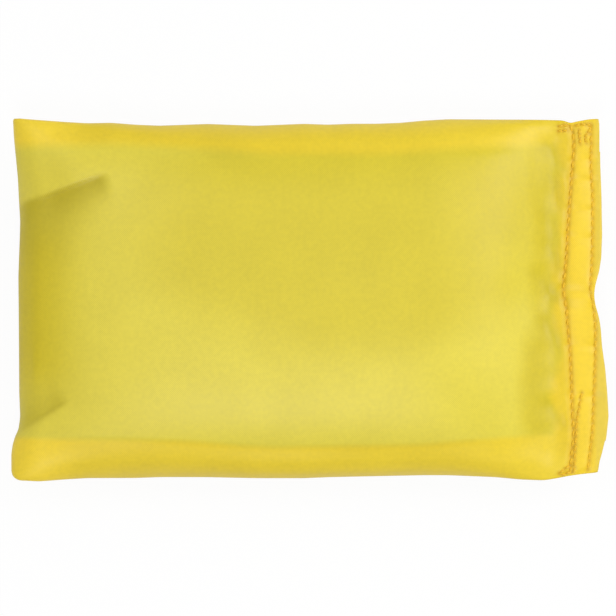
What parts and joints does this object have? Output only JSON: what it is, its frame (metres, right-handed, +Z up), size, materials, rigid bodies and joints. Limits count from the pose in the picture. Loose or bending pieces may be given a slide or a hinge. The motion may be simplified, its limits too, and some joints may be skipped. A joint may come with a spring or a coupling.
{
  "type": "toss bean bag",
  "caption": "small nylon bag filled with plastic pellets, one end closed by two rows of topstitching, lying flat, for tossing and catching",
  "frame": {"origin": "on the ground under the middle of the bag as it lies flat", "axes": "+X runs along the bag from its folded end to its sewn hem, +Y across it, +Z up"},
  "size_m": [0.1273, 0.0774, 0.021],
  "materials": {
    "nylon": "satin",
    "pellets": "matte",
    "thread": "satin"
  },
  "bodies": {
    "root": {"cover_cloth": "nylon", "pellet_fill": "pellets", "far_side_seam_needle_thread": "thread", "far_side_seam_bobbin_thread": "thread", "near_side_seam_needle_thread": "thread", "near_side_seam_bobbin_thread": "thread", "hem_outer_row_needle_thread": "thread", "hem_outer_row_bobbin_thread": "thread", "hem_inner_row_needle_thread": "thread", "hem_inner_row_bobbin_thread": "thread", "hem_short_run_needle_thread": "thread", "hem_short_run_bobbin_thread": "thread"}
  },
  "joints": []
}
